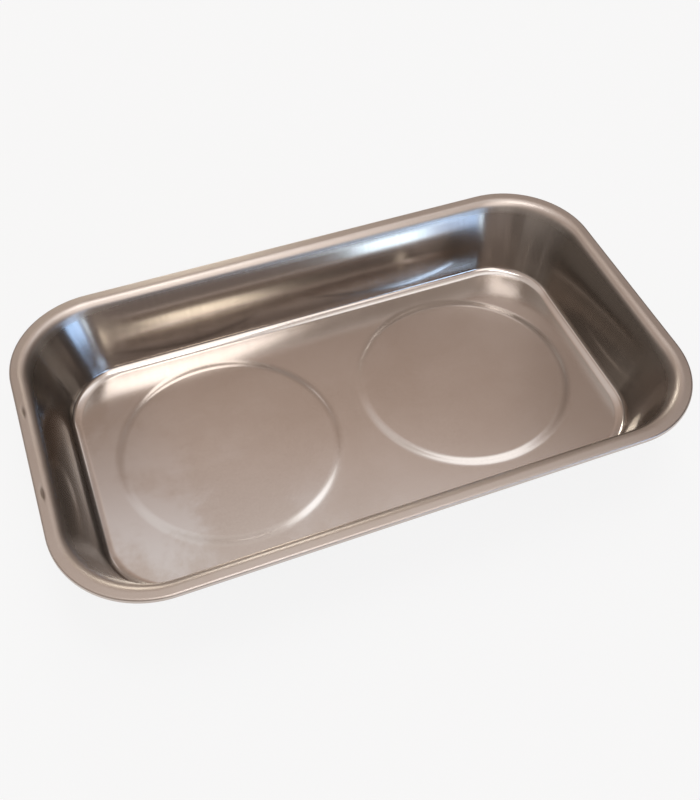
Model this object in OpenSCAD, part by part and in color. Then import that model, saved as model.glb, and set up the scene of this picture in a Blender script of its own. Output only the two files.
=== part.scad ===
// Magnetic parts tray: a pressed stainless dish with two ring magnets under its floor.
// X runs along the dish, Y across it and Z up. The rubber boots stand on Z = 0.

/* [Dish] */
// Length over the rim
dish_l = 240; // [232:1:300]
// Width over the rim
dish_w = 140; // [134:1:180]
// Depth from the top of the rim to the floor
dish_depth = 29; // [20:0.5:40]
// Thickness of the pressed sheet
sheet_t = 0.6; // [0.5:0.05:0.9]
// Corner radius at the outer edge of the rim
rim_corner_r = 35; // [28:0.5:45]
// Corner radius of the flat floor
floor_corner_r = 22.8; // [12:0.1:26]
// Distance from the outer edge of the rim to the edge of the flat floor
floor_inset = 19.1; // [16:0.1:22]
// How far the middle of a wall bulges into the dish
wall_crown = 1.5; // [0.5:0.1:2.5]

/* [Rim] */
// Distance from the outer edge to the corner where the flange turns down
flange_w = 5.7; // [5:0.1:8]
// Radius of the bend from the flange to the wall
flange_bend_r = 4.2; // [2:0.1:4.8]
// Gap inside the hem, between the flange and the turned-under edge
hem_gap = 1; // [0.5:0.1:1.5]
// Width of the hem, from the outer edge to the cut edge beneath
hem_w = 3.2; // [2.5:0.1:4]
// Radius inside the corners of the hem
hem_inner_r = 0.15; // [0.05:0.05:0.25]

/* [Foot of the wall] */
// Width of the tilted band round the flat floor
band_w = 2.9; // [2.3:0.1:4]
// Rise of the tilted band
band_rise = 0.8; // [0.4:0.1:1.2]
// Radius between the wall and the band
foot_r = 2.4; // [1:0.1:3]
// Radius between the band and the floor
crease_r = 6; // [0.5:0.5:7]

/* [Raised seats] */
// Distance from the end of the dish to the centre of a seat
seat_inset = 70.8; // [69:0.2:73]
// Height of a seat above the floor
seat_rise = 0.3; // [0.2:0.05:0.8]
// Width of the sloped shoulder round a seat
seat_shoulder_w = 2.4; // [2:0.1:3.2]
// Radial gap between the boot and the shoulder, under the seat
seat_clear = 2.6; // [2:0.1:3]

/* [Magnet] */
// Outer diameter of the ferrite ring
magnet_od = 70; // [62:1:74]
// Bore of the ferrite ring
magnet_id = 32; // [30:1:36]
// Thickness of the ferrite ring
magnet_t = 8; // [7.5:0.5:12]
// Bevel on the edges of the ferrite ring
magnet_bevel = 0.8; // [0.2:0.1:1]

/* [Steel cup] */
// Thickness of the cup's sheet
cup_t = 1.2; // [0.8:0.1:1.5]
// Height of the cup's wall above its floor
cup_wall_h = 5; // [3.5:0.1:6]
// Radial gap between the magnet and the cup's wall
cup_clear = 0.2; // [0.1:0.05:0.4]
// Radial gap between the cup's boss and the bore of the magnet
boss_clear = 3; // [2:0.1:4]
// Radius of the bends in the cup
cup_bend_r = 0.7; // [0.4:0.1:0.9]
// Radius at the top of the boss
boss_bend_r = 2; // [1.6:0.1:2.4]

/* [Rubber boot] */
// Thickness of the boot's wall, beside the cup
boot_wall = 1.6; // [1:0.1:2.4]
// Thickness of the boot's sole
boot_sole = 2; // [1.2:0.1:3]
// Radius of the boot's lower edge
boot_edge_r = 1.4; // [0.5:0.1:1.8]
// Radius of the boot's upper edge
boot_top_r = 0.5; // [0.2:0.1:0.8]
// Width of the sole that covers the edge of the nut's recess
boot_lip = 1; // [0:0.1:2]
// Gap between the boot and the parts that it grips
boot_clear = 0.05; // [0.02:0.01:0.15]

/* [Stud and nut] */
// Thread diameter of the weld stud
stud_d = 5; // [4:0.5:6]
// Diameter of the stud's welded flange
stud_flange_d = 9; // [8:0.5:12]
// Thickness of the stud's welded flange
stud_flange_t = 1; // [0.6:0.1:1.2]
// Gap between the flange and the top of the cup's boss
stud_gap = 0.3; // [0.1:0.1:0.6]
// Length of the stud below the nut
stud_end = 1; // [0.5:0.1:1.2]
// Bevel at the end of the stud
stud_bevel = 0.6; // [0.2:0.1:0.8]
// Radial gap between the stud and the nut
thread_clear = 0.05; // [0.02:0.01:0.1]
// Radial gap between the stud and the washers or the cup
hole_clear = 0.25; // [0.1:0.05:0.4]
// Width across the flats of the nut
nut_af = 8; // [7.5:0.5:10]
// Height of the nut
nut_h = 4.5; // [3:0.1:5]
// Outer diameter of the plain washer
washer_od = 10; // [9:0.5:12]
// Thickness of the plain washer
washer_t = 1; // [0.6:0.1:1.2]
// Outer diameter of the spring washer
spring_od = 9; // [8:0.5:10]
// Thickness of the spring washer
spring_t = 1.2; // [0.8:0.1:1.4]
// Width of the slit in the spring washer
spring_slit = 0.8; // [0.4:0.1:1.5]

/* [Hidden] */
$fn = 96;

// Steps in a bend of the sheet, and in a corner of the dish
bend_steps = 5;
corner_steps = 12;
// How far a cut runs past the surface that it opens
overrun = 1;
// Signs of X for the two seats
left = -1;
right = 1;

// Heights, stacked up from the soles of the boots
cup_floor_z = boot_sole + cup_t;
seat_under_z = cup_floor_z + magnet_t;
floor_under_z = seat_under_z - seat_rise;
floor_z = floor_under_z + sheet_t;
rim_z = floor_z + dish_depth;
cup_top_z = cup_floor_z + cup_wall_h;
boss_z = seat_under_z - stud_flange_t - stud_gap;
washer_z = boss_z - cup_t - washer_t;
spring_z = washer_z - spring_t;
nut_z = spring_z - nut_h;

// Place of the seats along the dish
seat_x = dish_l / 2 - seat_inset;

// Radii, worked outwards and inwards from the ferrite ring
magnet_r = magnet_od / 2;
cup_r = magnet_r + cup_clear;
boot_bore_r = cup_r + cup_t + boot_clear;
boot_r = boot_bore_r + boot_wall;
seat_r = boot_r + seat_clear;
boss_r = magnet_id / 2 - boss_clear;
boot_hole_r = boss_r - cup_t - boot_lip;
hole_r = stud_d / 2 + hole_clear;

// Hem of the rim: its height and its outer radius
hem_h = sheet_t + hem_gap + sheet_t;
hem_r = hem_inner_r + sheet_t;

// Strip of the flat floor that is made together with the walls
floor_strip = 2.3;
floor_end = floor_inset + floor_strip;

// Wall of the dish: its ends, its middle, and the radius of the bulge, which takes up a share of its length
wall_top = [flange_w, rim_z];
wall_foot = [floor_inset - band_w, floor_z + band_rise];
wall_middle = (wall_top + wall_foot) / 2 + [wall_crown, 0];
wall_round_share = 0.62;
wall_half = norm(wall_foot - wall_top) / 2;
wall_lift = wall_crown * (wall_top - wall_foot).y / norm(wall_foot - wall_top);
wall_crown_r = wall_round_share * wall_half * wall_half / wall_lift;

// Face of the dish from the cut edge of the hem to the flat floor, as [inset, height]
dish_path = [
    [hem_w, rim_z - hem_h],
    [0, rim_z - hem_h],
    [0, rim_z],
    wall_top,
    wall_middle,
    wall_foot,
    [floor_inset, floor_z],
    [floor_end, floor_z]
];
dish_bends = [0, hem_r, hem_r, flange_bend_r, wall_crown_r, foot_r, crease_r, 0];

// Shoulder of a seat: its slope, the share of it that the two bends take up, and their radius
seat_slope = atan2(seat_rise, seat_shoulder_w);
seat_round_share = 0.95;
seat_bend_r = seat_round_share * norm([seat_rise, seat_shoulder_w]) / 2 / tan(seat_slope / 2);

// Face of a raised seat from its middle to the floor round it, as [radius, height]
seat_path = [
    [0, floor_z + seat_rise],
    [seat_r, floor_z + seat_rise],
    [seat_r + seat_shoulder_w, floor_z],
    [seat_r + seat_shoulder_w + seat_shoulder_w, floor_z]
];
seat_bends = [0, seat_bend_r, seat_bend_r, 0];

// The corners are concentric on the flat flange, and then tighten evenly down to the floor
flange_swing = atan2((wall_top - wall_middle).y, (wall_middle - wall_top).x);
corner_start = flange_w - flange_bend_r * tan(flange_swing / 2);
corner_rate = (rim_corner_r - corner_start - floor_corner_r) / (floor_inset - corner_start);

// Quarter turn to the left, unit vector, and a vector turned by an angle
function left_of(v) = [-v.y, v.x];
function unit(v) = v / norm(v);
function turned(v, a) = v * cos(a) + left_of(v) * sin(a);

// Stations [place, normal] round the bend at b, on the way from a to c, or one at a sharp corner
function bend(a, b, c, r) =
    let (
        along = unit(b - a),
        onward = unit(c - b),
        swing = atan2(cross(along, onward), along * onward),
        side = sign(swing),
        start = b - along * r * tan(abs(swing) / 2),
        centre = start + left_of(along) * r * side
    )
    [
        for (i = [0 : r > 0 ? bend_steps : 0])
            let (normal = turned(left_of(along), swing * i / bend_steps))
            [centre - normal * r * side, normal]
    ];

// Stations along the face of a bent sheet: straight runs, with a bend at each inner point
function sheet_stations(path, radii) =
    let (last = len(path) - 1)
    [
        [path[0], left_of(unit(path[1] - path[0]))],
        for (i = [1 : last - 1]) each bend(path[i - 1], path[i], path[i + 1], radii[i]),
        [path[last], left_of(unit(path[last] - path[last - 1]))]
    ];

// Outline of a bent sheet: along its face, and back along its other side
function sheet_outline(path, radii, thickness) =
    let (
        stations = sheet_stations(path, radii),
        last = len(stations) - 1
    )
    [
        for (s = stations) s[0],
        for (i = [last : -1 : 0]) stations[i][0] - stations[i][1] * thickness
    ];

// Points of a path with its inner points rounded
function rounded(path, radii) = [for (s = sheet_stations(path, radii)) s[0]];

// Corner radius of the dish at an inset from its outer edge
function corner_r(inset) =
    inset < corner_start
        ? rim_corner_r - inset
        : rim_corner_r - corner_start - (inset - corner_start) * corner_rate;

// Ring of points round the dish at one [inset, height] of its profile
function dish_ring(at) =
    let (
        r = corner_r(at[0]),
        x = dish_l / 2 - at[0] - r,
        y = dish_w / 2 - at[0] - r
    )
    [
        for (quarter = [0 : 3], i = [0 : corner_steps])
            let (
                a = 90 * (quarter + i / corner_steps),
                middle = 90 * quarter + 45
            )
            [sign(cos(middle)) * x + r * cos(a), sign(sin(middle)) * y + r * sin(a), at[1]]
    ];

// Rim, walls and foot of the dish: its sheet profile carried round the rounded rectangle
module dish_wall() {
    profile = sheet_outline(dish_path, dish_bends, sheet_t);
    rings = [for (at = profile) dish_ring(at)];
    n = len(rings[0]);
    m = len(rings);
    polyhedron(
        points = [for (ring = rings) each ring],
        faces = [
            for (i = [0 : m - 1], j = [0 : n - 1])
                let (
                    a = i * n + j,
                    b = i * n + (j + 1) % n,
                    c = (i + 1) % m * n + (j + 1) % n,
                    d = (i + 1) % m * n + j
                )
                each [[a, c, b], [a, d, c]]
        ]
    );
}

// Solid of revolution below the face of a seat
module seat_solid(face, base_z) {
    rotate_extrude()
        polygon([each face, [face[len(face) - 1].x, base_z], [0, base_z]]);
}

// Flat floor of the dish, raised over each magnet
module dish_floor() {
    edge = dish_ring([floor_end, floor_z]);
    shoulder = sheet_stations(seat_path, seat_bends);
    foot = len(shoulder) - 2;
    top = [for (i = [0 : foot]) shoulder[i][0]];
    under = [for (i = [0 : foot]) shoulder[i][0] - shoulder[i][1] * sheet_t];
    difference() {
        union() {
            translate([0, 0, floor_under_z])
                linear_extrude(sheet_t)
                    polygon([for (p = edge) [p.x, p.y]]);
            for (side = [left, right])
                at_seat(side) seat_solid(top, floor_z - sheet_t / 2);
        }
        for (side = [left, right])
            at_seat(side) seat_solid(under, floor_under_z - overrun);
    }
}

module at_seat(side) {
    translate([side * seat_x, 0, 0])
        children();
}

module dish() {
    color([0.62, 0.56, 0.52])
        union() {
            dish_wall();
            dish_floor();
        }
}

// Stud with a wide flange, welded under the middle of a seat
module stud() {
    r = stud_d / 2;
    end_z = nut_z - stud_end;
    color([0.72, 0.72, 0.70])
        rotate_extrude()
            polygon([
                [0, end_z],
                [r - stud_bevel, end_z],
                [r, end_z + stud_bevel],
                [r, seat_under_z - stud_flange_t],
                [stud_flange_d / 2, seat_under_z - stud_flange_t],
                [stud_flange_d / 2, seat_under_z],
                [0, seat_under_z]
            ]);
}

// Ferrite ring with bevelled edges, between the cup and the seat
module magnet() {
    bore_r = magnet_id / 2;
    color([0.20, 0.20, 0.21])
        rotate_extrude()
            polygon([
                [bore_r + magnet_bevel, cup_floor_z],
                [magnet_r - magnet_bevel, cup_floor_z],
                [magnet_r, cup_floor_z + magnet_bevel],
                [magnet_r, seat_under_z - magnet_bevel],
                [magnet_r - magnet_bevel, seat_under_z],
                [bore_r + magnet_bevel, seat_under_z],
                [bore_r, seat_under_z - magnet_bevel],
                [bore_r, cup_floor_z + magnet_bevel]
            ]);
}

// Pressed cup: a flat floor with a wall round the magnet and a raised boss inside its bore
module cup() {
    path = [
        [hole_r, boss_z],
        [boss_r, boss_z],
        [boss_r, cup_floor_z],
        [cup_r, cup_floor_z],
        [cup_r, cup_top_z]
    ];
    bends = [0, boss_bend_r, cup_bend_r, cup_bend_r, 0];
    color([0.60, 0.61, 0.62])
        rotate_extrude()
            polygon(sheet_outline(path, bends, cup_t));
}

// Rubber boot: a sole with a hole for the nut, a wall, and a top edge that grips the magnet
module boot() {
    grip_r = magnet_r + boot_clear;
    path = [
        [boot_hole_r, boot_sole],
        [boot_hole_r, 0],
        [boot_r, 0],
        [boot_r, seat_under_z],
        [grip_r, seat_under_z],
        [grip_r, cup_top_z],
        [boot_bore_r, cup_top_z],
        [boot_bore_r, boot_sole]
    ];
    bends = [0, boot_top_r, boot_edge_r, boot_top_r, boot_top_r, 0, 0, 0];
    color([0.05, 0.05, 0.053])
        rotate_extrude()
            polygon(rounded(path, bends));
}

// Flat ring for a washer
module flat_ring(outer_r, inner_r, thickness) {
    difference() {
        cylinder(r = outer_r, h = thickness);
        translate([0, 0, -overrun])
            cylinder(r = inner_r, h = thickness + overrun + overrun);
    }
}

module washer() {
    color([0.74, 0.74, 0.72])
        translate([0, 0, washer_z])
            flat_ring(washer_od / 2, hole_r, washer_t);
}

// Spring washer: a ring with a slit through one side
module spring_washer() {
    r = spring_od / 2;
    color([0.66, 0.66, 0.65])
        translate([0, 0, spring_z])
            difference() {
                flat_ring(r, hole_r, spring_t);
                translate([0, -spring_slit / 2, -overrun])
                    cube([r + overrun, spring_slit, spring_t + overrun + overrun]);
            }
}

// Hexagon nut, bevelled below and above to a circle a little wider than its flats
module nut() {
    flat_r = nut_af / 2;
    point_r = flat_r / cos(30);
    bevel = (point_r - flat_r) * tan(30);
    color([0.76, 0.75, 0.70])
        translate([0, 0, nut_z])
            difference() {
                intersection() {
                    cylinder(r = point_r, h = nut_h, $fn = 6);
                    rotate_extrude()
                        polygon([
                            [0, 0],
                            [flat_r, 0],
                            [point_r, bevel],
                            [point_r, nut_h - bevel],
                            [flat_r, nut_h],
                            [0, nut_h]
                        ]);
                }
                translate([0, 0, -overrun])
                    cylinder(r = stud_d / 2 + thread_clear, h = nut_h + overrun + overrun);
            }
}

dish();
at_seat(left) stud();  // stud_left
at_seat(right) stud();  // stud_right
at_seat(left) magnet();  // magnet_left
at_seat(right) magnet();  // magnet_right
at_seat(left) cup();  // cup_left
at_seat(right) cup();  // cup_right
at_seat(left) boot();  // boot_left
at_seat(right) boot();  // boot_right
at_seat(left) washer();  // washer_left
at_seat(right) washer();  // washer_right
at_seat(left) spring_washer();  // spring_washer_left
at_seat(right) spring_washer();  // spring_washer_right
at_seat(left) nut();  // nut_left
at_seat(right) nut();  // nut_right
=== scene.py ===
import math

import bpy
from mathutils import Matrix, Quaternion, Vector


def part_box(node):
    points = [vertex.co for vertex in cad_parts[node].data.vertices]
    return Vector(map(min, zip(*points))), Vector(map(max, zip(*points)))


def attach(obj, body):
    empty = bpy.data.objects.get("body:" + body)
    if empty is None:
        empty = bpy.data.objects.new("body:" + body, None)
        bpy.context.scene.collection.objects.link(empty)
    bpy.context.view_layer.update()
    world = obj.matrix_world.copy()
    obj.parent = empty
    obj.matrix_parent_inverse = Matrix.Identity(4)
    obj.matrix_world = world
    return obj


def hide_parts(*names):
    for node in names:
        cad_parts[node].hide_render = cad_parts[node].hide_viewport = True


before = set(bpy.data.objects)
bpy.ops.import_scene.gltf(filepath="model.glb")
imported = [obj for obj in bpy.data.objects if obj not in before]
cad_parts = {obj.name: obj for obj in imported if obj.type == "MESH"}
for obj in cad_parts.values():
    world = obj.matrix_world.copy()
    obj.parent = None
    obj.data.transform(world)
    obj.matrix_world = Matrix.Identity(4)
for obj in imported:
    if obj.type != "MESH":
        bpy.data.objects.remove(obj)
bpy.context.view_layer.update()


# Dish
# One stainless sheet, pressed in a single draw: a hem folded under the rim, sloped walls, a tilted band
# round the floor, and two raised seats that show where the magnets sit. Nothing is fixed from inside.

mm = 0.001
dish_low, dish_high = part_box("dish")
boot_low, boot_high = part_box("boot_right")
dish_l = dish_high.x - dish_low.x
dish_w = dish_high.y - dish_low.y
rim_z = dish_high.z
sheet_t = 0.6 * mm
floor_z = dish_low.z + sheet_t
rim_corner_r = 35 * mm
floor_corner_r = 22.8 * mm
floor_inset = 19.1 * mm
floor_strip = 2.3 * mm
flange_w = 5.7 * mm
flange_bend_r = 4.2 * mm
wall_crown = 1.5 * mm
wall_round_share = 0.62
hem_h = 2.2 * mm
hem_w = 3.2 * mm
hem_r = 0.75 * mm
cut_edge_w = 0.12 * mm
band_w = 2.9 * mm
band_rise = 0.8 * mm
foot_r = 2.4 * mm
crease_r = 6 * mm
seat_clear = 2.6 * mm
seat_x = (boot_low.x + boot_high.x) / 2
seat_r = (boot_high.x - boot_low.x) / 2 + seat_clear
seat_rise = boot_high.z + sheet_t - floor_z
seat_shoulder_w = 2.4 * mm
seat_round_share = 0.95
shoulder_half = math.hypot(seat_rise, seat_shoulder_w) / 2
shoulder_swing = math.atan2(seat_rise, seat_shoulder_w)
seat_bend_r = seat_round_share * shoulder_half / math.tan(shoulder_swing / 2)

# Two small press marks on the left flange, the one at the back shallower
front_dent = (-dish_l / 2 + 2.5 * mm, -17.4 * mm, 0)
back_dent = (-dish_l / 2 + 2.4 * mm, 19.6 * mm, 0)
dent_size = (1.0 * mm, 4.4 * mm, 1)
dent_depth = 0.22 * mm
back_dent_share = 0.6
flange_skin = 0.5 * mm

# Places nearer to each other than this become one
weld = 0.005 * mm


def left_of(v):
    return Vector((-v.y, v.x))


def bent_profile(path, radii, cuts, bend_steps):
    """Points along a bent sheet: straight runs cut into equal lengths, and an arc at each inner point."""
    path = [Vector(p) for p in path]
    points = [path[0]]
    for i, r in enumerate(radii, 1):
        along = (path[i] - path[i - 1]).normalized()
        onward = (path[i + 1] - path[i]).normalized()
        swing = math.atan2(along.cross(onward), along.dot(onward))
        side = math.copysign(1, swing)
        start = path[i] - along * r * math.tan(abs(swing) / 2)
        centre = start + left_of(along) * r * side
        run_start = points[-1]
        for k in range(1, cuts[i - 1]):
            points.append(run_start.lerp(start, k / cuts[i - 1]))
        for k in range(bend_steps + 1):
            a = swing * k / bend_steps
            normal = left_of(along) * math.cos(a) - along * math.sin(a)
            points.append(centre - normal * r * side)
    run_start = points[-1]
    for k in range(1, cuts[-1] + 1):
        points.append(run_start.lerp(path[-1], k / cuts[-1]))
    return points


def add(tree, kind, inputs=None, **settings):
    """One node with its settings, and its inputs linked or set by name or number."""
    node = tree.nodes.new(kind)
    for key, value in settings.items():
        setattr(node, key, value)
    for key, value in (inputs or {}).items():
        if isinstance(value, bpy.types.NodeSocket):
            tree.links.new(value, node.inputs[key])
        else:
            node.inputs[key].default_value = value
    return node


def calc(tree, operation, a, b=0.0, c=0.0):
    return add(tree, "ShaderNodeMath", {0: a, 1: b, 2: c}, operation=operation).outputs[0]


def count(tree, operation, a, b=0, c=0):
    return add(tree, "FunctionNodeIntegerMath", {0: a, 1: b, 2: c}, operation=operation).outputs[0]


def vector_calc(tree, operation, a, b=(0, 0, 0)):
    return add(tree, "ShaderNodeVectorMath", {0: a, 1: b}, operation=operation).outputs[0]


def vector_of(tree, **parts):
    """Vector from the named x, y and z, with 0 for those not given."""
    axes = {"x": 0, "y": 1, "z": 2}
    return add(tree, "ShaderNodeCombineXYZ", {axes[key]: value for key, value in parts.items()}).outputs[0]


def turned(tree, vector, angle):
    """Vector turned round Z."""
    return add(tree, "ShaderNodeVectorRotate", {"Vector": vector, "Angle": angle},
               rotation_type="Z_AXIS").outputs[0]


def graded(tree, value, start, end, low=0.0, high=1.0, ease="LINEAR"):
    """Runs from low to high as the value goes from start to end, and stays there beyond."""
    return add(tree, "ShaderNodeMapRange", {"Value": value, 1: start, 2: end, 3: low, 4: high},
               interpolation_type=ease).outputs[0]


def placed(tree, mesh, **move):
    """Mesh with its points set to a Position, or moved by an Offset."""
    return add(tree, "GeometryNodeSetPosition", {"Geometry": mesh, **move}).outputs[0]


def shifted(tree, mesh, vector):
    return add(tree, "GeometryNodeTransform", {"Geometry": mesh, "Translation": vector}).outputs[0]


def welded(tree, meshes, distance):
    """Meshes joined into one, with points that meet made one."""
    joined = tree.nodes.new("GeometryNodeJoinGeometry")
    for mesh in meshes:
        tree.links.new(mesh, joined.inputs[0])
    return add(tree, "GeometryNodeMergeByDistance",
               {"Geometry": joined.outputs[0], "Distance": distance}).outputs[0]


def new_tree(name, inputs):
    """Geometry tree with a mesh in, a mesh out and named inputs; gives the tree and those inputs."""
    tree = bpy.data.node_groups.new(name, "GeometryNodeTree")
    tree.interface.new_socket("Geometry", in_out="OUTPUT", socket_type="NodeSocketGeometry")
    tree.interface.new_socket("Geometry", in_out="INPUT", socket_type="NodeSocketGeometry")
    for socket, kind in inputs.items():
        tree.interface.new_socket(socket, in_out="INPUT", socket_type=kind)
    return tree, tree.nodes.new("NodeGroupInput").outputs


def close_tree(tree, geometry, material, sharp_from=math.pi):
    """End of a tree: smooth faces with edges sharp from an angle on, real geometry and its material."""
    faces = add(tree, "GeometryNodeSetShadeSmooth", {"Geometry": geometry})
    angle = tree.nodes.new("GeometryNodeInputMeshEdgeAngle").outputs[0]
    sharp = calc(tree, "GREATER_THAN", angle, sharp_from)
    edges = add(tree, "GeometryNodeSetShadeSmooth",
                {"Geometry": faces.outputs[0], "Shade Smooth": False, "Selection": sharp}, domain="EDGE")
    real = add(tree, "GeometryNodeRealizeInstances", {"Geometry": edges.outputs[0]})
    finish = add(tree, "GeometryNodeSetMaterial", {"Geometry": real.outputs[0], "Material": material})
    add(tree, "NodeGroupOutput", {0: finish.outputs[0]})


def grid_points(tree, columns, rows, profile, first_row=0):
    """Closed grid of columns by rows; gives its mesh, each point's column, and its row's profile point."""
    around = count(tree, "ADD", columns, 1)
    grid = add(tree, "GeometryNodeMeshGrid", {"Vertices X": around, "Vertices Y": rows})
    index = tree.nodes.new("GeometryNodeInputIndex").outputs[0]
    column = count(tree, "DIVIDE_FLOOR", index, rows)
    row = count(tree, "ADD", count(tree, "MODULO", index, rows), first_row)
    place = tree.nodes.new("GeometryNodeInputPosition").outputs[0]
    at = add(tree, "GeometryNodeSampleIndex", {"Geometry": profile, "Index": row}, data_type="FLOAT_VECTOR")
    tree.links.new(place, at.inputs["Value"])
    return grid.outputs["Mesh"], column, add(tree, "ShaderNodeSeparateXYZ", {0: at.outputs[0]}).outputs


def made(name, points, tree, values, thickness=0.0):
    """Plain mesh object from profile points run through a tree, with the sheet's thickness below it."""
    mesh = bpy.data.meshes.new(name)
    mesh.from_pydata([(p.x, 0, p.y) for p in points], [], [])
    source = bpy.data.objects.new(name + "_profile", mesh)
    bpy.context.scene.collection.objects.link(source)
    modifier = source.modifiers.new("shape", "NODES")
    modifier.node_group = tree
    for item in tree.interface.items_tree:
        if item.in_out == "INPUT" and item.name in values:
            modifier[item.identifier] = values[item.name]
    if thickness:
        wall = source.modifiers.new("sheet", "SOLIDIFY")
        wall.thickness = thickness
        wall.offset = -1
        wall.use_even_offset = True
    bpy.context.view_layer.update()
    shaped = source.evaluated_get(bpy.context.evaluated_depsgraph_get())
    piece = bpy.data.objects.new(name, bpy.data.meshes.new_from_object(shaped))
    piece.data.name = name
    bpy.context.scene.collection.objects.link(piece)
    bpy.data.objects.remove(source)
    return piece


tree, given = new_tree("Pressed dish", {
    "Wall points": "NodeSocketInt", "Seat points": "NodeSocketInt", "Length": "NodeSocketFloat",
    "Width": "NodeSocketFloat", "Rim corner radius": "NodeSocketFloat", "Corner start": "NodeSocketFloat",
    "Corner rate": "NodeSocketFloat", "Corner steps": "NodeSocketInt", "Side steps": "NodeSocketInt",
    "Seat place": "NodeSocketVector", "Seat steps": "NodeSocketInt", "Floor height": "NodeSocketFloat",
    "Rim height": "NodeSocketFloat", "Front dent": "NodeSocketVector", "Back dent": "NodeSocketVector",
    "Dent size": "NodeSocketVector", "Dent depth": "NodeSocketFloat", "Material": "NodeSocketMaterial"})

# Each column of the wall is one place round the rounded rectangle: a corner's arc, then the side after it
quarter_steps = count(tree, "ADD", given["Corner steps"], given["Side steps"])
columns = count(tree, "MULTIPLY", quarter_steps, 4)
wall, column, at = grid_points(tree, columns, given["Wall points"], given["Geometry"])
quarter = count(tree, "DIVIDE_FLOOR", column, quarter_steps)
step = count(tree, "MODULO", column, quarter_steps)
corner_part = calc(tree, "MINIMUM", calc(tree, "DIVIDE", step, given["Corner steps"]), 1)
past_corner = count(tree, "MAXIMUM", count(tree, "SUBTRACT", step, given["Corner steps"]), 0)
side_part = calc(tree, "DIVIDE", past_corner, given["Side steps"])
right_angle = math.pi / 2


def quarter_turned(vector, turns):
    return turned(tree, vector, calc(tree, "MULTIPLY", turns, right_angle))


outwards = quarter_turned((1, 0, 0), calc(tree, "ADD", quarter, corner_part))
corner_a = quarter_turned((1, 1, 0), quarter)
corner_b = quarter_turned((1, 1, 0), count(tree, "ADD", quarter, 1))
centre = add(tree, "ShaderNodeMix", {"Factor": side_part, 4: corner_a, 5: corner_b},
             data_type="VECTOR").outputs[1]
inset = at[0]
even_part = calc(tree, "MINIMUM", inset, given["Corner start"])
tight_part = calc(tree, "MULTIPLY", calc(tree, "SUBTRACT", inset, even_part), given["Corner rate"])
corner_r = calc(tree, "SUBTRACT", calc(tree, "SUBTRACT", given["Rim corner radius"], even_part), tight_part)
reach = calc(tree, "ADD", inset, corner_r)
half_x = calc(tree, "SUBTRACT", calc(tree, "MULTIPLY", given["Length"], 0.5), reach)
half_y = calc(tree, "SUBTRACT", calc(tree, "MULTIPLY", given["Width"], 0.5), reach)
centre = vector_calc(tree, "MULTIPLY", centre, vector_of(tree, x=half_x, y=half_y))
arc = add(tree, "ShaderNodeVectorMath", {0: outwards, "Scale": corner_r}, operation="SCALE").outputs[0]
ring = vector_calc(tree, "ADD", vector_calc(tree, "ADD", centre, arc), vector_of(tree, z=at[2]))
wall = placed(tree, wall, Position=ring)

# The two seats are the same turned shape, one at each end
seat, column, at = grid_points(tree, given["Seat steps"], given["Seat points"], given["Geometry"],
                               given["Wall points"])
turn = calc(tree, "MULTIPLY", calc(tree, "DIVIDE", column, given["Seat steps"]), math.tau)
seat = placed(tree, seat, Position=turned(tree, vector_of(tree, x=at[0], z=at[2]), turn))
seat_right = shifted(tree, seat, given["Seat place"])
seat_left = shifted(tree, seat, vector_calc(tree, "MULTIPLY", given["Seat place"], (-1, 1, 1)))
pressed = welded(tree, (wall, seat_right, seat_left), weld)

# The flat floor fills the space between the foot of the wall and the seats
floor_reach = 1 * mm
faces_beside = tree.nodes.new("GeometryNodeInputMeshEdgeNeighbors").outputs[0]
open_edge = calc(tree, "LESS_THAN", faces_beside, 2)
position = tree.nodes.new("GeometryNodeInputPosition").outputs[0]
place = add(tree, "ShaderNodeSeparateXYZ", {0: position}).outputs
low = calc(tree, "LESS_THAN", place[2], calc(tree, "ADD", given["Floor height"], floor_reach))
floor_edges = calc(tree, "MULTIPLY", open_edge, low)
floor_line = add(tree, "GeometryNodeMeshToCurve", {"Mesh": pressed, "Selection": floor_edges}).outputs[0]
floor = add(tree, "GeometryNodeFillCurve", {"Curve": floor_line}, mode="TRIANGLES").outputs[0]
floor = shifted(tree, floor, vector_of(tree, z=given["Floor height"]))
sheet = welded(tree, (pressed, floor), weld)


def hollow(nodes, where, dent, size):
    """How deep a place lies in an oval press mark: 1 at its middle and 0 from its edge on."""
    away = vector_calc(nodes, "DIVIDE", vector_calc(nodes, "SUBTRACT", where, dent), size)
    away = add(nodes, "ShaderNodeVectorMath", {0: away}, operation="LENGTH").outputs["Value"]
    return graded(nodes, away, 1.0, 0.0, ease="SMOOTHERSTEP")


# The press marks are oval hollows in the top of the flange
flat_place = vector_of(tree, x=place[0], y=place[1])
depth = calc(tree, "MULTIPLY_ADD", hollow(tree, flat_place, given["Back dent"], given["Dent size"]),
             back_dent_share, hollow(tree, flat_place, given["Front dent"], given["Dent size"]))
on_top = calc(tree, "GREATER_THAN", place[2], calc(tree, "SUBTRACT", given["Rim height"], flange_skin))
drop = calc(tree, "MULTIPLY", calc(tree, "MULTIPLY", depth, on_top), given["Dent depth"])
sheet = placed(tree, sheet, Offset=vector_of(tree, z=calc(tree, "MULTIPLY", drop, -1)))
close_tree(tree, sheet, given["Material"])

# Shared effect: cloudy handling marks and a fine grain, for bare, plated, moulded and sintered surfaces
cloud_share = 0.65
grain_share = 0.35
marks = bpy.data.node_groups.new("Surface marks", "ShaderNodeTree")
for socket in ("Cloud scale", "Grain scale", "Roughness", "Variation"):
    marks.interface.new_socket(socket, in_out="INPUT", socket_type="NodeSocketFloat")
for socket in ("Cloud", "Grain", "Roughness"):
    marks.interface.new_socket(socket, in_out="OUTPUT", socket_type="NodeSocketFloat")
marks_in = marks.nodes.new("NodeGroupInput").outputs
where = marks.nodes.new("ShaderNodeTexCoord").outputs["Object"]


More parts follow.
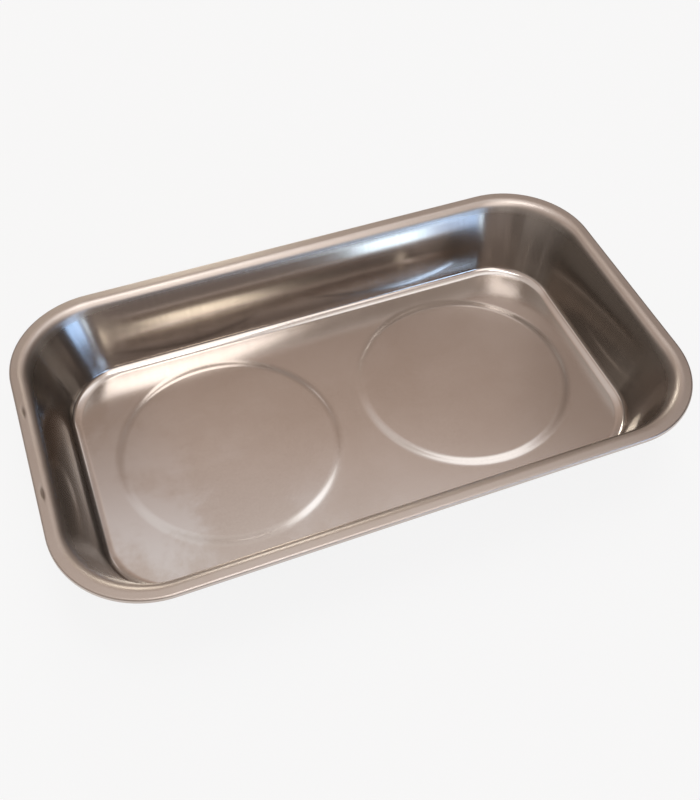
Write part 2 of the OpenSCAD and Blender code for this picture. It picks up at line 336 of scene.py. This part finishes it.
def noise(nodes, where, **shape):
    """Noise at a place, with its Scale, Detail and whatever else is named."""
    return add(nodes, "ShaderNodeTexNoise", {"Vector": where, **shape}).outputs[0]


cloud = noise(marks, where, Scale=marks_in["Cloud scale"], Detail=3.0)
grain = noise(marks, where, Scale=marks_in["Grain scale"], Detail=2.0)
mixed = calc(marks, "ADD", calc(marks, "MULTIPLY", cloud, cloud_share),
             calc(marks, "MULTIPLY", grain, grain_share))
swing = calc(marks, "MULTIPLY", calc(marks, "SUBTRACT", mixed, 0.5), marks_in["Variation"])
dulled = calc(marks, "ADD", marks_in["Roughness"], swing)
add(marks, "NodeGroupOutput", {"Cloud": cloud, "Grain": grain, "Roughness": dulled})


def new_material(name, colour, roughness, metallic):
    """Material with its shader's constant values set; gives the material, its tree and the shader."""
    material = bpy.data.materials.new(name)
    material.use_nodes = True
    shader = material.node_tree.nodes["Principled BSDF"]
    shader.inputs["Base Color"].default_value = (*colour, 1)
    shader.inputs["Roughness"].default_value = roughness
    shader.inputs["Metallic"].default_value = metallic
    return material, material.node_tree, shader


def surface_marks(nodes, cloud_scale, grain_scale, roughness, variation):
    return add(nodes, "ShaderNodeGroup", {"Cloud scale": cloud_scale, "Grain scale": grain_scale,
               "Roughness": roughness, "Variation": variation}, node_tree=marks).outputs


def blended(nodes, factor, colour_a, colour_b):
    """Colour between two, each of them a socket or three numbers."""
    a, b = (c if isinstance(c, bpy.types.NodeSocket) else (*c, 1) for c in (colour_a, colour_b))
    return add(nodes, "ShaderNodeMix", {"Factor": factor, 6: a, 7: b}, data_type="RGBA").outputs[2]


def bumped(nodes, height, strength, distance, **onto):
    return add(nodes, "ShaderNodeBump", {"Height": height, "Strength": strength, "Distance": distance,
               **onto}).outputs[0]


def dress(nodes, shader, colour, roughness, normal):
    """Give the shader what changes over the surface."""
    nodes.links.new(colour, shader.inputs["Base Color"])
    nodes.links.new(roughness, shader.inputs["Roughness"])
    nodes.links.new(normal, shader.inputs["Normal"])


# Warm stainless: satin on the floor and rim, and smoother on the walls where the draw has burnished them,
# with painted shade that makes the walls darker
floor_roughness = 0.15
wall_dulling = -0.03
corner_dulling = 0.12
rim_dulling = 0.19
corner_stretch = 0.85
quarter_turn = 0.25
wall_from = floor_z + 1 * mm
wall_full = floor_z + 3 * mm
wall_fades = rim_z - 3 * mm
wall_to = rim_z - 0.5 * mm
rim_from = rim_z - 4.5 * mm
rim_full = rim_z - 2 * mm
dish_steel, nodes, shader = new_material(
    "dish_steel", colour=(0.62, 0.56, 0.52), roughness=0.2, metallic=1.0)
where = nodes.nodes.new("ShaderNodeTexCoord").outputs["Object"]
along, across, level = add(nodes, "ShaderNodeSeparateXYZ", {0: where}).outputs
from_middle = calc(nodes, "ABSOLUTE", along)
from_axis = calc(nodes, "ABSOLUTE", across)
above = graded(nodes, level, wall_from, wall_full, ease="SMOOTHSTEP")
below = graded(nodes, level, wall_to, wall_fades, ease="SMOOTHSTEP")
drawn = calc(nodes, "MULTIPLY", above, below)
on_rim = graded(nodes, level, rim_from, rim_full)

# The corners, where the sheet gathers in the draw, are dulled and draw out upright what they mirror
gather_start = 1.6 * rim_corner_r
gather_end = 0.8 * rim_corner_r
near_end = graded(nodes, from_middle, dish_l / 2 - gather_start, dish_l / 2 - gather_end, ease="SMOOTHSTEP")
near_side = graded(nodes, from_axis, dish_w / 2 - gather_start, dish_w / 2 - gather_end, ease="SMOOTHSTEP")
gathered = calc(nodes, "MULTIPLY", drawn, calc(nodes, "MULTIPLY", near_end, near_side))
satin = calc(nodes, "MULTIPLY_ADD", drawn, wall_dulling, floor_roughness)
satin = calc(nodes, "MULTIPLY_ADD", gathered, corner_dulling, satin)
satin = calc(nodes, "MULTIPLY_ADD", on_rim, rim_dulling, satin)
nodes.links.new(calc(nodes, "MULTIPLY", gathered, corner_stretch), shader.inputs["Anisotropic"])
shader.inputs["Anisotropic Rotation"].default_value = quarter_turn
round_tray = add(nodes, "ShaderNodeTangent", direction_type="RADIAL", axis="Z").outputs[0]
nodes.links.new(round_tray, shader.inputs["Tangent"])
marked = surface_marks(nodes, cloud_scale=45.0, grain_scale=1500.0, roughness=satin, variation=0.05)
half_cloud = calc(nodes, "MULTIPLY", marked["Cloud"], 0.5)
mottle = calc(nodes, "MULTIPLY_ADD", marked["Grain"], 0.5, half_cloud)
pale = blended(nodes, mottle, (0.56, 0.49, 0.44), (0.70, 0.64, 0.60))

# Draw lines run down the slope: each place on the wall takes its tone from the rim right above it
streak_scale = 700.0
streak_rise_share = 0.04
flat_place = vector_calc(nodes, "MULTIPLY", where, (1, 1, 0))
core = Vector((dish_l / 2 - rim_corner_r, dish_w / 2 - rim_corner_r, 0))
corner_place = vector_calc(nodes, "MAXIMUM", vector_calc(nodes, "MINIMUM", flat_place, core), -core)
outward = vector_calc(nodes, "NORMALIZE", vector_calc(nodes, "SUBTRACT", flat_place, corner_place))
to_rim = vector_calc(nodes, "MULTIPLY", outward, (rim_corner_r, rim_corner_r, 0))
upright = vector_calc(nodes, "ADD", vector_calc(nodes, "ADD", corner_place, to_rim),
                      vector_calc(nodes, "MULTIPLY", where, (0, 0, streak_rise_share)))
streak = noise(nodes, upright, Scale=streak_scale, Detail=1.5)
# Painted shade: the walls are coloured darker than the floor, and the draw lines streak that tone
wall_shade = blended(nodes, streak, (0.43, 0.39, 0.355), (0.53, 0.48, 0.445))

# Painted shade: the end walls are coloured the darkest
end_from = dish_l / 2 - 22 * mm
end_full = dish_l / 2 - 16 * mm
end_fades = dish_w / 2 - rim_corner_r
end_to = dish_w / 2 - 0.4 * rim_corner_r
end_wall_shade = blended(nodes, streak, (0.345, 0.32, 0.29), (0.425, 0.395, 0.365))
at_end = graded(nodes, from_middle, end_from, end_full)
off_corner = graded(nodes, from_axis, end_fades, end_to, low=1.0, high=0.0)
wall_shade = blended(nodes, calc(nodes, "MULTIPLY", at_end, off_corner), wall_shade, end_wall_shade)

# Hazy smears from handling, strongest in the front left corner of the floor, with a painted sheen that
# makes them paler
smears_from = -35 * mm
smears_full = -120 * mm
rim_smear_loss = -0.7
rim_shade_share = 0.4
smear_and_sheen = noise(nodes, where, Scale=26.0, Detail=5.0, Roughness=0.6, Distortion=0.1)
smear_and_sheen = graded(nodes, smear_and_sheen, 0.41, 0.60, ease="SMOOTHSTEP")
handled = graded(nodes, calc(nodes, "ADD", along, across), smears_from, smears_full, low=0.05, high=0.7)
off_rim = calc(nodes, "MULTIPLY_ADD", on_rim, rim_smear_loss, 1.0)
smear_and_sheen = calc(nodes, "MULTIPLY", calc(nodes, "MULTIPLY", smear_and_sheen, handled), off_rim)
pale = blended(nodes, smear_and_sheen, pale, (0.80, 0.79, 0.80))
# Painted shade: the rim is coloured a darker, warmer brown
pale = blended(nodes, calc(nodes, "MULTIPLY", on_rim, rim_shade_share), pale, (0.53, 0.43, 0.37))
bare = blended(nodes, drawn, pale, wall_shade)

# Painted shade: the press marks are coloured dark brown
dent_shade_gain = 1.3
dent_shade_most = 0.75
dent_shade = calc(nodes, "MULTIPLY_ADD", hollow(nodes, flat_place, back_dent, dent_size), back_dent_share,
            hollow(nodes, flat_place, front_dent, dent_size))
dent_shade = calc(nodes, "MINIMUM", calc(nodes, "MULTIPLY", dent_shade, dent_shade_gain), dent_shade_most)
dent_shade = calc(nodes, "MULTIPLY", dent_shade, calc(nodes, "GREATER_THAN", level, rim_z - flange_skin))
dent_shaded = blended(nodes, dent_shade, bare, (0.16, 0.125, 0.10))

# The sheet is never quite flat
wave = noise(nodes, where, Scale=22.0, Detail=0.0)
warped = bumped(nodes, wave, strength=1.0, distance=0.05 * mm)
rough = bumped(nodes, marked["Grain"], strength=0.02, distance=0.01 * mm, Normal=warped)
dress(nodes, shader, dent_shaded, marked["Roughness"], rough)

wall_top = Vector((flange_w, rim_z))
wall_foot = Vector((floor_inset - band_w, floor_z + band_rise))
wall_half = (wall_foot - wall_top).length / 2
wall_lift = wall_crown * (wall_top - wall_foot).y / (2 * wall_half)
wall_crown_r = wall_round_share * wall_half ** 2 / wall_lift
wall_middle = (wall_top + wall_foot) / 2 + Vector((wall_crown, 0))

# The corners are concentric on the flat flange, and then tighten evenly down to the floor
flange_swing = math.atan2(wall_top.y - wall_middle.y, wall_middle.x - wall_top.x)
corner_start = flange_w - flange_bend_r * math.tan(flange_swing / 2)
corner_rate = (rim_corner_r - corner_start - floor_corner_r) / (floor_inset - corner_start)
wall_points = bent_profile(
    [(hem_w, rim_z - hem_h), (0, rim_z - hem_h), (0, rim_z), wall_top, wall_middle, wall_foot,
     (floor_inset, floor_z), (floor_inset + floor_strip, floor_z)],
    [hem_r, hem_r, flange_bend_r, wall_crown_r, foot_r, crease_r], [2, 1, 8, 2, 2, 2, 2], 8)
cut_edge_share = cut_edge_w / (wall_points[0] - wall_points[1]).length
wall_points.insert(1, wall_points[0].lerp(wall_points[1], cut_edge_share))
seat_points = bent_profile(
    [(seat_r + 2 * seat_shoulder_w, floor_z), (seat_r + seat_shoulder_w, floor_z),
     (seat_r, floor_z + seat_rise), (0, floor_z + seat_rise)],
    [seat_bend_r, seat_bend_r], [2, 2, 6], 8)
dish = made("dish_sheet", wall_points + seat_points, tree, {
    "Wall points": len(wall_points), "Seat points": len(seat_points), "Length": dish_l, "Width": dish_w,
    "Rim corner radius": rim_corner_r, "Corner start": corner_start, "Corner rate": corner_rate,
    "Corner steps": 24, "Side steps": 90, "Seat place": (seat_x, 0, 0), "Seat steps": 128,
    "Floor height": floor_z, "Rim height": rim_z, "Front dent": front_dent, "Back dent": back_dent,
    "Dent size": dent_size, "Dent depth": dent_depth, "Material": dish_steel}, sheet_t)
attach(dish, "root")
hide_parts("dish")


# Weld studs
# A plated steel stud with a wide thin flange, welded under the middle of each seat so that nothing shows
# inside the dish. Its rolled thread takes the nut.

stud_low, stud_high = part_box("stud_right")
stud_r = 2.5 * mm
stud_flange_r = (stud_high.x - stud_low.x) / 2
stud_flange_t = 1 * mm
stud_bevel = 0.6 * mm
stud_edge_r = 0.12 * mm
stud_neck = 0.8 * mm
thread_pitch = 0.8 * mm
thread_depth = 0.42 * mm
thread_rows = 12
stud_flange_z = stud_high.z - stud_flange_t
turned_weld = 0.002 * mm
sharp_edge = math.radians(50)

turned_part, given = new_tree("Turned part", {
    "Points": "NodeSocketInt", "Steps": "NodeSocketInt", "Place": "NodeSocketVector",
    "Thread radius": "NodeSocketFloat", "Thread pitch": "NodeSocketFloat",
    "Thread depth": "NodeSocketFloat", "Thread top": "NodeSocketFloat", "Material": "NodeSocketMaterial"})
mesh, column, at = grid_points(turned_part, given["Steps"], given["Points"], given["Geometry"])
turns = calc(turned_part, "DIVIDE", column, given["Steps"])

# A thread is a groove that climbs by one pitch a turn, cut from the thread radius
climb = calc(turned_part, "SUBTRACT", calc(turned_part, "DIVIDE", at[2], given["Thread pitch"]), turns)
flank = calc(turned_part, "MULTIPLY", calc(turned_part, "PINGPONG", climb, 0.5), 2)
groove = calc(turned_part, "MULTIPLY", flank, given["Thread depth"])
cut_r = calc(turned_part, "MINIMUM", at[0], calc(turned_part, "SUBTRACT", given["Thread radius"], groove))
threaded = calc(turned_part, "LESS_THAN", at[2], given["Thread top"])
radius = add(turned_part, "ShaderNodeMix", {0: threaded, 2: at[0], 3: cut_r}).outputs[0]
spoke = turned(turned_part, vector_of(turned_part, x=radius, z=at[2]),
               calc(turned_part, "MULTIPLY", turns, math.tau))
mesh = placed(turned_part, mesh, Position=vector_calc(turned_part, "ADD", spoke, given["Place"]))
mesh = welded(turned_part, (mesh,), turned_weld)
close_tree(turned_part, mesh, given["Material"], sharp_edge)


def turned_pair(node, finish, points, steps, material, thickness=0.0, thread=None):
    """The same turned piece under both seats, in place of the two CAD nodes."""
    plain = {"Thread radius": 1.0, "Thread pitch": 1.0, "Thread depth": 0.0, "Thread top": -1.0}
    for side, x in (("left", -seat_x), ("right", seat_x)):
        values = {"Points": len(points), "Steps": steps, "Place": (x, 0, 0), "Material": material,
                  **(thread or plain)}
        piece = made(f"{node}_{side}_{finish}", points, turned_part, values, thickness)
        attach(piece, "root")
        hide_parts(f"{node}_{side}")


# Bright zinc: a cool grey with faint yellow clouds, dulled in patches
plated_steel, nodes, shader = new_material(
    "plated_steel", colour=(0.74, 0.74, 0.71), roughness=0.3, metallic=1.0)
marked = surface_marks(nodes, cloud_scale=260.0, grain_scale=3000.0, roughness=0.3, variation=0.22)
zinc = blended(nodes, marked["Cloud"], (0.68, 0.69, 0.69), (0.80, 0.79, 0.73))
rough = bumped(nodes, marked["Grain"], strength=0.2, distance=0.02 * mm)
dress(nodes, shader, zinc, marked["Roughness"], rough)

thread_cuts = round((stud_flange_z - stud_low.z) / thread_pitch * thread_rows)
stud_points = bent_profile(
    [(0, stud_low.z), (stud_r - stud_bevel, stud_low.z), (stud_r, stud_low.z + stud_bevel),
     (stud_r, stud_flange_z), (stud_flange_r, stud_flange_z), (stud_flange_r, stud_high.z),
     (0, stud_high.z)],
    [stud_edge_r] * 5, [4, 4, thread_cuts, 3, 2, 4], 3)
turned_pair("stud", "threaded", stud_points, 64, plated_steel, thread={
    "Thread radius": stud_r, "Thread pitch": thread_pitch, "Thread depth": thread_depth,
    "Thread top": stud_flange_z - stud_neck})


# Magnets
# A ring of sintered ferrite with ground faces, held between the cup and the seat and out of sight in the
# boot. The ring drops into the cup and its own pull keeps it there.

ferrite, nodes, shader = new_material(
    "ferrite", colour=(0.2, 0.2, 0.21), roughness=0.6, metallic=0.0)
marked = surface_marks(nodes, cloud_scale=160.0, grain_scale=1400.0, roughness=0.6, variation=0.3)
sintered = blended(nodes, marked["Grain"], (0.15, 0.15, 0.16), (0.24, 0.24, 0.25))
rough = bumped(nodes, marked["Grain"], strength=0.5, distance=0.03 * mm)
dress(nodes, shader, sintered, marked["Roughness"], rough)


def finished(node, material):
    """CAD solids of one kind under both seats, kept as they are and given a finish."""
    for side in ("left", "right"):
        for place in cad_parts[f"{node}_{side}"].material_slots:
            place.material = material


finished("magnet", ferrite)


# Cups
# A pressed steel cup that closes the magnet's field: a wall round the ring, a flat floor and a raised boss
# inside its bore. Zinc plated. The nut pulls the boss up towards the stud's flange.

magnet_low, magnet_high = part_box("magnet_right")
cup_low, cup_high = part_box("cup_right")
cup_t = 1.2 * mm
cup_bend_r = 0.7 * mm
boss_bend_r = 2 * mm
boss_r = 13 * mm
boss_gap = 0.3 * mm
boss_z = stud_flange_z - boss_gap
hole_clear = 0.25 * mm
cup_hole_r = stud_r + hole_clear
cup_floor_z = magnet_low.z
cup_r = (cup_high.x - cup_low.x) / 2 - cup_t

cup_steel, nodes, shader = new_material(
    "cup_steel", colour=(0.6, 0.61, 0.62), roughness=0.36, metallic=1.0)
marked = surface_marks(nodes, cloud_scale=140.0, grain_scale=2400.0, roughness=0.36, variation=0.25)
zinc = blended(nodes, marked["Cloud"], (0.54, 0.55, 0.57), (0.66, 0.66, 0.64))
rough = bumped(nodes, marked["Grain"], strength=0.3, distance=0.02 * mm)
dress(nodes, shader, zinc, marked["Roughness"], rough)

cup_points = bent_profile(
    [(cup_r, cup_high.z), (cup_r, cup_floor_z), (boss_r, cup_floor_z), (boss_r, boss_z),
     (cup_hole_r, boss_z)],
    [cup_bend_r, cup_bend_r, boss_bend_r], [4, 6, 2, 4], 8)
turned_pair("cup", "pressed", cup_points, 128, cup_steel, cup_t)


# Boots
# A black rubber boot moulded in one piece, stretched over the cup and the ring. It is the foot of the tray:
# its sole lies against the steel, with a hole for the nut, and its top edge grips the ring.

boot_clear = 0.05 * mm
boot_hole_lip = 1 * mm
boot_r = (boot_high.x - boot_low.x) / 2
boot_top_z = boot_high.z
boot_sole_z = cup_low.z
boot_middle_z = (boot_sole_z + cup_high.z) / 2
boot_bore_r = cup_r + cup_t + boot_clear
boot_grip_r = (magnet_high.x - magnet_low.x) / 2 + boot_clear
boot_hole_r = boss_r - cup_t - boot_hole_lip
boot_edge_r = 1.4 * mm
boot_top_r = 0.5 * mm
boot_inner_r = 0.15 * mm

boot_rubber, nodes, shader = new_material(
    "boot_rubber", colour=(0.05, 0.05, 0.053), roughness=0.55, metallic=0.0)
marked = surface_marks(nodes, cloud_scale=90.0, grain_scale=1600.0, roughness=0.55, variation=0.25)
moulded = blended(nodes, marked["Cloud"], (0.040, 0.040, 0.042), (0.062, 0.062, 0.066))

# The sole is scuffed grey where it slides on steel
sole_from = 0.5 * mm
sole_full = 0.05 * mm
where = nodes.nodes.new("ShaderNodeTexCoord").outputs["Object"]
level = add(nodes, "ShaderNodeSeparateXYZ", {0: where}).outputs[2]
sole = graded(nodes, level, sole_from, sole_full)
scuffs = noise(nodes, where, Scale=140.0, Detail=6.0, Roughness=0.7)
scuffs = graded(nodes, scuffs, 0.5, 0.68, low=0.0, high=0.55)
scuffed = blended(nodes, calc(nodes, "MULTIPLY", sole, scuffs), moulded, (0.13, 0.13, 0.13))
rough = bumped(nodes, marked["Grain"], strength=0.5, distance=0.06 * mm)
dress(nodes, shader, scuffed, marked["Roughness"], rough)

boot_points = bent_profile(
    [(boot_bore_r, boot_middle_z), (boot_bore_r, boot_sole_z), (boot_hole_r, boot_sole_z), (boot_hole_r, 0),
     (boot_r, 0), (boot_r, boot_top_z), (boot_grip_r, boot_top_z), (boot_grip_r, cup_high.z),
     (boot_bore_r, cup_high.z), (boot_bore_r, boot_middle_z)],
    [boot_inner_r, boot_inner_r, boot_top_r, boot_edge_r, boot_top_r, boot_top_r, boot_inner_r,
     boot_inner_r],
    [2, 4, 2, 8, 4, 2, 2, 1, 2], 6)
turned_pair("boot", "moulded", boot_points, 144, boot_rubber)


# Washers and nuts
# A punched plain washer, a split spring washer and a bevelled hexagon nut on each stud, all bright zinc
# plated. They hold the boss of the cup up to the stud, inside the hole of the boot.

finished("washer", plated_steel)
finished("spring_washer", plated_steel)
finished("nut", plated_steel)


# Floor under the tray
# A plain white studio floor, for the shadow and the light that it throws back, open to a view from below.
# Not part of the tray, which stands a hair above it.

ground_w = 6
ground_gap = 0.02 * mm
glow_share = 0.85
bpy.ops.mesh.primitive_plane_add(size=ground_w, location=(0, 0, -ground_gap))
ground = bpy.context.object
ground.name = "studio_floor"
ground_white, nodes, shader = new_material(
    "studio_white", colour=(0.8, 0.8, 0.8), roughness=0.9, metallic=0.0)
shine = add(nodes, "ShaderNodeEmission", {"Color": (1, 1, 1, 1), "Strength": 1.0})
path = nodes.nodes.new("ShaderNodeLightPath").outputs
seen = calc(nodes, "MAXIMUM", calc(nodes, "MAXIMUM", path["Is Camera Ray"], path["Is Glossy Ray"]),
            path["Is Transmission Ray"])
blend = add(nodes, "ShaderNodeMixShader",
            {0: calc(nodes, "MULTIPLY", seen, glow_share), 1: shader.outputs[0], 2: shine.outputs[0]})
under = nodes.nodes.new("ShaderNodeNewGeometry").outputs["Backfacing"]
clear = nodes.nodes.new("ShaderNodeBsdfTransparent")
blend = add(nodes, "ShaderNodeMixShader", {0: under, 1: blend.outputs[0], 2: clear.outputs[0]})
nodes.links.new(blend.outputs[0], nodes.nodes["Material Output"].inputs["Surface"])
ground.data.materials.append(ground_white)


# Light
# A white panel overhead and one in front, pale cards to the sides and behind with one bright warm lamp, and
# blue window cards in front on the right. All hang in a dim warm room, which the tray mirrors.

panel_distance = 3.0


def soft_panel(name, azimuth, elevation, size, colour, radiance, roll=0.0):
    """Even panel that faces the tray, seen from it at an azimuth right of +Y, an elevation and a size."""
    azimuth, elevation, roll = (math.radians(angle) for angle in (azimuth, elevation, roll))
    toward = Vector((math.sin(azimuth) * math.cos(elevation), math.cos(azimuth) * math.cos(elevation),
                     math.sin(elevation)))
    lamp = bpy.data.lights.new(name, "AREA")
    lamp.shape = "RECTANGLE"
    lamp.size, lamp.size_y = (2 * panel_distance * math.tan(math.radians(angle) / 2) for angle in size)
    lamp.color = colour
    lamp.energy = radiance * math.pi * lamp.size * lamp.size_y
    panel = bpy.data.objects.new(name, lamp)
    turn = toward.to_track_quat("Z", "Y") @ Quaternion((0, 0, 1), roll)
    place = toward * panel_distance + Vector((0, 0, floor_z))
    panel.matrix_world = Matrix.Translation(place) @ turn.to_matrix().to_4x4()
    panel.visible_camera = False
    bpy.context.scene.collection.objects.link(panel)


soft_panel("ceiling_panel", 78.7, 87.45, (13, 24), (0.94, 0.98, 1.0), 3.9, -88.3)
soft_panel("front_panel", 172, 55, (30, 34), (1, 1, 1), 1.2)
soft_panel("side_panel", 45, 64, (16, 12), (0.86, 0.94, 1.0), 0.95, 45)
soft_panel("left_panel", -95, 32, (70, 36), (1.0, 0.96, 0.92), 0.22)
soft_panel("left_card", -47, 42, (22, 14), (1.0, 0.97, 0.94), 0.45)
soft_panel("right_card", 95, 17, (20, 8), (1.0, 0.97, 0.92), 0.6)
soft_panel("rim_card", 33.5, 40, (8, 6), (1.0, 0.97, 0.95), 0.65)
soft_panel("glow_card", 20, 52, (24, 9), (1.0, 0.82, 0.72), 0.10)
soft_panel("back_card", 20, 14, (50, 28), (1.0, 0.86, 0.78), 0.22)
soft_panel("back_lamp", 7, 31.5, (6.5, 16), (1.0, 1.0, 0.90), 5.4)
soft_panel("window_card", 160.7, 8, (4.8, 9), (0.62, 0.82, 1.0), 4.2)
soft_panel("window_edge_card", 156.1, 8, (4.4, 9), (0.37, 0.57, 1.0), 0.9)
soft_panel("front_card", 182, 12, (52, 16), (1.0, 0.82, 0.76), 0.15)
soft_panel("window_side_card", 145, 10, (18, 10), (0.36, 0.60, 1.0), 6.0)
soft_panel("window_top_card", 155, 23, (9, 8), (0.42, 0.66, 1.0), 5.5)

# The room changes with the elevation, in degrees, and is dimmer to the right
room_colours = {
    0: (0.12, 0.10, 0.09), 25: (0.16, 0.135, 0.12), 38: (0.36, 0.31, 0.28), 44: (0.40, 0.325, 0.285),
    49: (0.375, 0.295, 0.25), 52: (0.415, 0.33, 0.28), 54: (0.505, 0.415, 0.365), 57: (0.70, 0.63, 0.60),
    60: (0.82, 0.77, 0.74), 67: (0.74, 0.69, 0.66), 76: (0.55, 0.48, 0.44)}
backdrop = (0.93, 0.93, 0.92)
world = bpy.data.worlds.new("room")
world.use_nodes = True
bpy.context.scene.world = world
room = world.node_tree
outlook = room.nodes.new("ShaderNodeTexCoord").outputs["Generated"]
toward = add(room, "ShaderNodeSeparateXYZ", {0: outlook}).outputs
rise = graded(room, calc(room, "ARCSINE", toward[2]), 0.0, right_angle)
ramp = add(room, "ShaderNodeValToRGB", {"Fac": rise})
for number, (degrees, colour) in enumerate(room_colours.items()):
    stops = ramp.color_ramp.elements
    stop = stops[number] if number < 2 else stops.new(1.0)
    stop.position = degrees / 90
    stop.color = (*colour, 1)
dim_right = graded(room, toward[0], 0.35, 0.8, low=1.0, high=0.5, ease="SMOOTHSTEP")

# The camera sees a pale backdrop where the tray mirrors the room
seen = room.nodes.new("ShaderNodeLightPath").outputs["Is Camera Ray"]
background = room.nodes["Background"]
room.links.new(blended(room, seen, ramp.outputs[0], backdrop), background.inputs["Color"])
room.links.new(calc(room, "MAXIMUM", dim_right, seen), background.inputs["Strength"])


# Camera
# At the photograph's angle, fitted to the rim, the floor line and the seats.

camera_turn = math.radians(-21.675)
camera_rise = math.radians(51.371)
camera_roll = math.radians(0.792)
camera_distance = 393.872 * mm
aim_right = -0.050 * mm
aim_up = -4.287 * mm
focal_px = 995.503
long_side_px = 800
sensor_mm = 36
near_limit = 10 * mm

back = Vector((math.sin(camera_turn) * math.cos(camera_rise),
               -math.cos(camera_turn) * math.cos(camera_rise), math.sin(camera_rise)))
level_right = (-back).cross(Vector((0, 0, 1))).normalized()
level_up = level_right.cross(-back)
right = math.cos(camera_roll) * level_right + math.sin(camera_roll) * level_up
up = math.cos(camera_roll) * level_up - math.sin(camera_roll) * level_right
lens = bpy.data.cameras.new("camera")
lens.sensor_width = sensor_mm
lens.lens = sensor_mm * focal_px / long_side_px
lens.clip_start = near_limit
camera = bpy.data.objects.new("camera", lens)
place = back * camera_distance - right * aim_right - up * aim_up + Vector((0, 0, floor_z))
camera.matrix_world = Matrix.Translation(place) @ Matrix((right, up, back)).transposed().to_4x4()
bpy.context.scene.collection.objects.link(camera)
bpy.context.scene.camera = camera
bpy.context.scene.view_settings.view_transform = "Standard"
